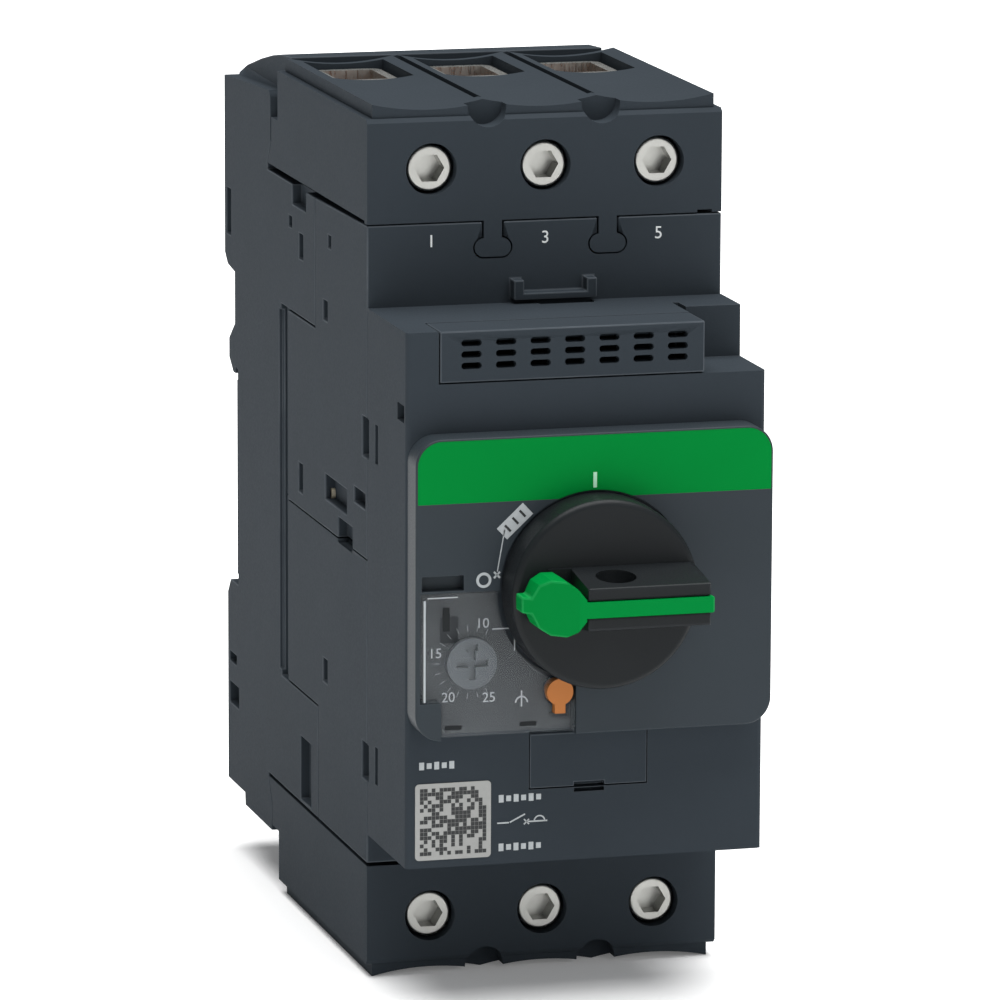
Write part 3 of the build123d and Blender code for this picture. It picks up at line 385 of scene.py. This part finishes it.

# %% [markdown]
# ## Latch spring
# A coil spring pushes the rail latch up. It stands on a peg of the base and shortens by the 3 mm
# that the latch is drawn down; here its mesh keeps one shape and rides on the housing.

# %% Latch spring
coil = bmesh.new()
coil.from_mesh(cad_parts["latch_spring"].data)
bmesh.ops.remove_doubles(coil, verts=coil.verts, dist=WELD)
coil_mesh = bpy.data.meshes.new("latch_spring_coil")
coil.to_mesh(coil_mesh)
coil.free()
coil_mesh.materials.append(spring_wire)
latch_coil = make_piece("latch_spring_coil", coil_mesh, "housing")
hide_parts("latch_spring")
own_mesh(latch_coil)

# %% [markdown]
# ## Printed marks
# The switch positions, the pole numbers and the small signs on the cover are pad-printed: ink is
# pressed from a soft pad and dries a few hundredths of a millimetre proud. Each group of marks on
# one surface is one thin mesh. Words are left out, and the positions read I and O.

# %% Helpers for printed marks


def add_strip(marks, first, second, y, closed=False):
    """Band of ink between two rows of (x, z) points in millimetres, second left of first."""
    rows = [[marks.verts.new((x * MM, depth, z * MM)) for x, z in row]
            for depth in (y - INK, y + INK / 2) for row in (first, second)]
    front_a, front_b, rear_a, rear_b = rows
    last = len(first) if closed else len(first) - 1
    for k in range(last):
        n = (k + 1) % len(first)
        marks.faces.new((front_a[k], front_a[n], front_b[n], front_b[k]))
        marks.faces.new((rear_b[k], rear_b[n], rear_a[n], rear_a[k]))
        marks.faces.new((front_a[n], front_a[k], rear_a[k], rear_a[n]))
        marks.faces.new((front_b[k], front_b[n], rear_b[n], rear_b[k]))
    if not closed:
        marks.faces.new((front_a[0], front_b[0], rear_b[0], rear_a[0]))
        marks.faces.new((front_b[-1], front_a[-1], rear_a[-1], rear_b[-1]))


def add_bar(marks, x, z, length, thick, y, tilt=0.0):
    """Bar centred on (x, z), turned by tilt degrees from level."""
    turn = math.radians(tilt)
    along = (math.cos(turn) * length / 2, math.sin(turn) * length / 2)
    aside = (-math.sin(turn) * thick / 2, math.cos(turn) * thick / 2)
    lower = [(x + s * along[0] - aside[0], z + s * along[1] - aside[1]) for s in (-1, 1)]
    upper = [(x + s * along[0] + aside[0], z + s * along[1] + aside[1]) for s in (-1, 1)]
    add_strip(marks, lower, upper, y)


def add_ring(marks, x, z, radius, thick, y, start=0, sweep=360):
    """Ring or arc of ink, with a point about every 12 degrees."""
    steps = max(8, int(sweep / 12))
    angles = [math.radians(start + sweep * k / steps) for k in range(steps + (sweep < 360))]
    outer, inner = [[(x + reach * math.cos(a), z + reach * math.sin(a)) for a in angles]
                    for reach in (radius + thick / 2, radius - thick / 2)]
    add_strip(marks, outer, inner, y, closed=sweep >= 360)


def add_text(marks, text, x, z, height, y):
    """Digits set in the built-in face, centred on (x, z)."""
    curve = bpy.data.curves.new("digits", "FONT")
    curve.body, curve.size, curve.extrude = text, height * MM * 1.4, INK * 0.75
    curve.align_x, curve.align_y = "CENTER", "CENTER"
    sign = bpy.data.objects.new("digits", curve)
    bpy.context.scene.collection.objects.link(sign)
    mesh = bpy.data.meshes.new_from_object(sign)
    mesh.transform(Matrix.Translation((x * MM, y - INK / 4, z * MM))
                   @ Matrix.Rotation(math.radians(90), 4, "X"))
    marks.from_mesh(mesh)
    bpy.data.objects.remove(sign)
    bpy.data.curves.remove(curve)
    bpy.data.meshes.remove(mesh)


def print_marks(name, marks, material, body="housing"):
    """Turns a finished group of marks into one piece."""
    bmesh.ops.remove_doubles(marks, verts=marks.verts, dist=1e-7)
    bmesh.ops.recalc_face_normals(marks, faces=marks.faces)
    mesh = bpy.data.meshes.new(name)
    marks.to_mesh(mesh)
    marks.free()
    mesh.materials.append(material)
    print(name, len(mesh.polygons), "faces")
    return make_piece(name, mesh, body)


# %% Marks round the handle and on the housing
on_mark = bmesh.new()
add_bar(on_mark, -0.1, 18.9, 2.3, 0.55, fascia_y, 90)
print_marks("on_mark", on_mark, green_ink)

switch_marks = bmesh.new()
add_ring(switch_marks, -17.0, 4.7, 0.95, 0.4, fascia_y)
add_bar(switch_marks, -15.0, 5.4, 1.3, 0.3, fascia_y, 45)
add_bar(switch_marks, -15.0, 5.4, 1.3, 0.3, fascia_y, -45)
add_bar(switch_marks, -14.4, 9.0, 6.3, 0.16, fascia_y, 80)
add_bar(switch_marks, -12.3, 13.3, 5.4, 2.3, fascia_y, 43)
print_marks("switch_marks", switch_marks, pale_ink_and_lid_highlight)

tag_sign = bmesh.new()
for along in (-1.5, 0.1, 1.6):
    add_bar(tag_sign, -12.3 + along * 0.72, 13.3 + along * 0.68, 0.35, 1.3, fascia_y - INK, 43)
print_marks("tag_sign", tag_sign, black_ink)

pole_marks = bmesh.new()
for digit, x in zip("135", poles):
    add_text(pole_marks, digit, x / MM, 50.6, 1.9, terminal_y)
print_marks("pole_marks", pole_marks, ink)

cover_marks = bmesh.new()
PITCH = 1.15
for x, z, length in ((-22.4, -23.9, 6.4), (-9.6, -29.5, 7.6), (-9.6, -36.9, 7.6)):
    for k in range(int(length / PITCH)):
        add_bar(cover_marks, x - length / 2 + 0.5 + k * PITCH, z, 0.75, 1.15 - 0.3 * (k % 2),
                cover_y)
add_bar(cover_marks, -12.6, -33.2, 1.8, 0.22, cover_y)
add_bar(cover_marks, -10.4, -32.6, 2.6, 0.22, cover_y, 26)
add_bar(cover_marks, -7.4, -33.2, 3.2, 0.22, cover_y)
for tilt in (45, -45):
    add_bar(cover_marks, -9.0, -33.2, 1.1, 0.2, cover_y, tilt)
add_ring(cover_marks, -7.0, -33.2, 0.8, 0.2, cover_y, 0, 180)
print_marks("cover_marks", cover_marks, pale_ink_and_lid_highlight)

# %% Marks on the setting plate
plate_y = low("scale_plate").y
setting_marks = bmesh.new()
for text, x, z in (("10", -16.4, -2.4), ("15", -23.6, -6.6), ("20", -21.6, -13.3),
                   ("25", -15.4, -13.6)):
    add_text(setting_marks, text, x, z, 1.5, plate_y)
add_bar(setting_marks, -13.2, -3.3, 3.4, 0.18, plate_y)
add_bar(setting_marks, -11.5, -5.0, 3.4, 0.18, plate_y, 90)
add_ring(setting_marks, -10.4, -14.6, 0.9, 0.22, plate_y, 0, 180)
add_bar(setting_marks, -10.4, -14.0, 2.4, 0.22, plate_y, 90)
print_marks("setting_marks", setting_marks, pale_ink_and_lid_highlight)

# %% [markdown]
# ## Details of the clear lid
# The cut edge of a clear moulding gathers light, so the lid's free left edge shows as a bright
# line; here it and a short line along the top edge are a painted highlight in pale ink. The slot
# for a seal wire and the two catches along the hinge edge are painted shade: thin dark marks, not
# openings.

# %% Lid details
lid_y = low("dial_cover").y
# Painted highlight: two pale bars along the lid's free left edge and its top edge.
lid_edge_painted_highlight = bmesh.new()
add_bar(lid_edge_painted_highlight, low("dial_cover").x / MM + 0.45, -5.6, 15.2, 0.3, lid_y, 90)
add_bar(lid_edge_painted_highlight, low("dial_cover").x / MM + 3.2, 2.35, 4.6, 0.16, lid_y)
print_marks("lid_edge_painted_highlight", lid_edge_painted_highlight, pale_ink_and_lid_highlight, "dial_cover")

# Painted shade: dark bars where the seal-wire slot and the hinge catches are.
lid_slot_painted_shade = bmesh.new()
add_bar(lid_slot_painted_shade, -22.7, -0.9, 3.6, 1.1, lid_y, 90)
for x in (-21.6, -10.2):
    add_bar(lid_slot_painted_shade, x, -17.2, 2.6, 0.7, lid_y)
print_marks("lid_slot_painted_shade", lid_slot_painted_shade, handle_black_and_slot_shade, "dial_cover")

# %% [markdown]
# ## Marks that repeat
# The dial's ticks lie on an arc at equal angles, and the label's code is a grid of small squares
# of which a fixed seed keeps about six in ten. Both follow a rule, so node groups grow them: counts,
# sizes and seed are named inputs, and the result is turned into one plain mesh.

# %% Helpers for grown marks


def start_group(name, sockets):
    """A geometry node group with named inputs, its input node, output node and identifiers."""
    group = bpy.data.node_groups.new(name, "GeometryNodeTree")
    group.interface.new_socket("Geometry", in_out="OUTPUT", socket_type="NodeSocketGeometry")
    keys = {label: group.interface.new_socket(label, in_out="INPUT", socket_type=kind).identifier
            for label, kind in sockets}
    return group, add_node(group, "NodeGroupInput"), add_node(group, "NodeGroupOutput"), keys


def finish_group(group, geometry, output, material):
    """Ends a group in real geometry with its material."""
    real = add_node(group, "GeometryNodeRealizeInstances", None, {0: geometry})
    inked = add_node(group, "GeometryNodeSetMaterial", None, {"Geometry": real.outputs[0]})
    inked.inputs["Material"].default_value = material
    group.links.new(inked.outputs[0], output.inputs[0])


def grow(name, group, keys, values, place):
    """Runs a group once and returns the mesh, moved to its place."""
    seedbed = bpy.data.objects.new(name, bpy.data.meshes.new(name))
    bpy.context.scene.collection.objects.link(seedbed)
    modifier = seedbed.modifiers.new("grow", "NODES")
    modifier.node_group = group
    for label, value in values.items():
        modifier[keys[label]] = value
    bpy.context.view_layer.update()
    graph = bpy.context.evaluated_depsgraph_get()
    mesh = bpy.data.meshes.new_from_object(seedbed.evaluated_get(graph))
    mesh.transform(place)
    bpy.data.objects.remove(seedbed)
    print(name, len(mesh.polygons), "faces")
    return mesh


# %% Dial ticks
ticks, ticks_in, ticks_out, ticks_keys = start_group("dial_ticks", (
    ("Ticks", "NodeSocketInt"), ("Radius", "NodeSocketFloat"), ("Start", "NodeSocketFloat"),
    ("Sweep", "NodeSocketFloat"), ("Tick size", "NodeSocketVector")))
arc = add_node(ticks, "GeometryNodeCurveArc", {"mode": "RADIUS"}, {
    "Resolution": ticks_in.outputs["Ticks"], "Radius": ticks_in.outputs["Radius"],
    "Start Angle": ticks_in.outputs["Start"], "Sweep Angle": ticks_in.outputs["Sweep"]})
spots = add_node(ticks, "GeometryNodeCurveToPoints", {"mode": "EVALUATED"}, {0: arc.outputs[0]})
tick = add_node(ticks, "GeometryNodeMeshCube", None, {"Size": ticks_in.outputs["Tick size"]})
set_ticks = add_node(ticks, "GeometryNodeInstanceOnPoints", None, {
    "Points": spots.outputs["Points"], "Instance": tick.outputs["Mesh"],
    "Rotation": spots.outputs["Rotation"]})
finish_group(ticks, set_ticks.outputs[0], ticks_out, pale_ink_and_lid_highlight)
upright = Matrix.Rotation(math.radians(90), 4, "X")
tick_mesh = grow("dial_ticks", ticks, ticks_keys, {
    "Ticks": 15, "Radius": 5.1 * MM, "Start": math.radians(60), "Sweep": math.radians(240),
    "Tick size": (0.9 * MM, 0.9 * MM, 2 * INK)},
    Matrix.Translation((dial.x, plate_y, dial.z)) @ upright)
for corner_point in tick_mesh.vertices:
    corner_point.co.y = min(max(corner_point.co.y, plate_y - INK), plate_y + INK / 2)
make_piece("dial_ticks", tick_mesh, "housing")

# %% Label pattern
dots, dots_in, dots_out, dots_keys = start_group("label_dots", (
    ("Across", "NodeSocketInt"), ("Extent", "NodeSocketFloat"), ("Share", "NodeSocketFloat"),
    ("Seed", "NodeSocketInt"), ("Dot size", "NodeSocketVector")))
field = add_node(dots, "GeometryNodeMeshGrid", None, {
    "Size X": dots_in.outputs["Extent"], "Size Y": dots_in.outputs["Extent"],
    "Vertices X": dots_in.outputs["Across"], "Vertices Y": dots_in.outputs["Across"]})
chance = add_node(dots, "FunctionNodeRandomValue", {"data_type": "BOOLEAN"}, {
    "Probability": dots_in.outputs["Share"], "Seed": dots_in.outputs["Seed"]})
dot = add_node(dots, "GeometryNodeMeshCube", None, {"Size": dots_in.outputs["Dot size"]})
set_dots = add_node(dots, "GeometryNodeInstanceOnPoints", None, {
    "Points": field.outputs["Mesh"], "Selection": chance.outputs[3],
    "Instance": dot.outputs["Mesh"]})
finish_group(dots, set_dots.outputs[0], dots_out, black_ink)
label_y = low("rating_label").y
label = middle("rating_label")
dot_mesh = grow("label_dots", dots, dots_keys, {
    "Across": 17, "Extent": 9.6 * MM, "Share": 0.6, "Seed": 7,
    "Dot size": (0.56 * MM, 0.56 * MM, 2 * INK)},
    Matrix.Translation((label.x, label_y, label.z)) @ upright)
make_piece("label_dots", dot_mesh, "housing")

# %% [markdown]
# ## Camera, light and floor
# The view is from the front, a little to the left and above, through a long lens. A broad sun
# lights the top. A soft light stands in front at the right, with a much weaker, warmer one at the
# left, and the floor is plain and pale.

# %% Camera
EYE = (-0.30220, -1.15596, 0.22649)
FOCAL_LENGTH = 271.43
AZIMUTH, ELEVATION, ROLL = (math.radians(a) for a in (-15.304, 10.91, 0.2))
back = Vector((math.sin(AZIMUTH) * math.cos(ELEVATION), -math.cos(AZIMUTH) * math.cos(ELEVATION),
               math.sin(ELEVATION)))
level = Vector((math.cos(AZIMUTH), math.sin(AZIMUTH), 0))
upward = back.cross(level)
across = math.cos(ROLL) * level + math.sin(ROLL) * upward
upward = back.cross(across)
lens = bpy.data.cameras.new("camera")
lens.sensor_width, lens.lens = 36, FOCAL_LENGTH
lens.shift_x, lens.shift_y = 0.01226, -0.00777
camera = bpy.data.objects.new("camera", lens)
bpy.context.scene.collection.objects.link(camera)
camera.matrix_world = (Matrix.Translation(EYE)
                       @ Matrix((across, upward, back)).transposed().to_4x4())
bpy.context.scene.camera = camera
print("camera", round(camera.location.length, 3), "m from the rail")

# %% Lights and floor
FLOOR = 3.0
corner = cad_box[0]


def soft_light(name, place, aim, size, watts):
    """A square area light that faces a point."""
    lamp = bpy.data.lights.new(name, "AREA")
    lamp.shape, lamp.size, lamp.energy = "SQUARE", size, watts
    light = bpy.data.objects.new(name, lamp)
    light.location = place
    light.rotation_euler = (Vector(aim) - Vector(place)).to_track_quat("-Z", "Y").to_euler()
    bpy.context.scene.collection.objects.link(light)
    return light


AIM = (0, -0.06, 0)
soft_light("left_soft_light", (-1.1, -0.35, 0.35), AIM, 0.7, 0.2).data.color = (1.0, 0.95, 0.87)
soft_light("front_soft_light", (0.55, -1.3, 0.55), AIM, 0.7, 2.7)

sky = bpy.data.lights.new("overhead_soft_light", "SUN")
sky.energy, sky.angle = 5.6, math.radians(60)
overhead = bpy.data.objects.new("overhead_soft_light", sky)
overhead.rotation_euler = (math.radians(4), math.radians(4), 0)
bpy.context.scene.collection.objects.link(overhead)

world = bpy.data.worlds.new("studio")
world.use_nodes = True
world.node_tree.nodes["Background"].inputs["Color"].default_value = linear("F4F6F8")
world.node_tree.nodes["Background"].inputs["Strength"].default_value = 0.20
bpy.context.scene.world = world
bpy.context.scene.view_settings.view_transform = "Standard"

floor_mesh = bpy.data.meshes.new("floor")
floor_mesh.from_pydata([(-FLOOR, -FLOOR, corner[2]), (FLOOR, -FLOOR, corner[2]),
                        (FLOOR, FLOOR, corner[2]), (-FLOOR, FLOOR, corner[2])], [], [(0, 1, 2, 3)])
floor = bpy.data.objects.new("floor", floor_mesh)
bpy.context.scene.collection.objects.link(floor)
pale, pale_tree, pale_shader = new_material("pale_studio_floor")
pale_shader.inputs["Base Color"].default_value = linear("FAFAFA")
pale_shader.inputs["Roughness"].default_value = 0.9
pale_shader.inputs["Emission Color"].default_value = linear("FFFFFF")
pale_shader.inputs["Emission Strength"].default_value = 0.12
floor_mesh.materials.append(pale)
print("stage ready")
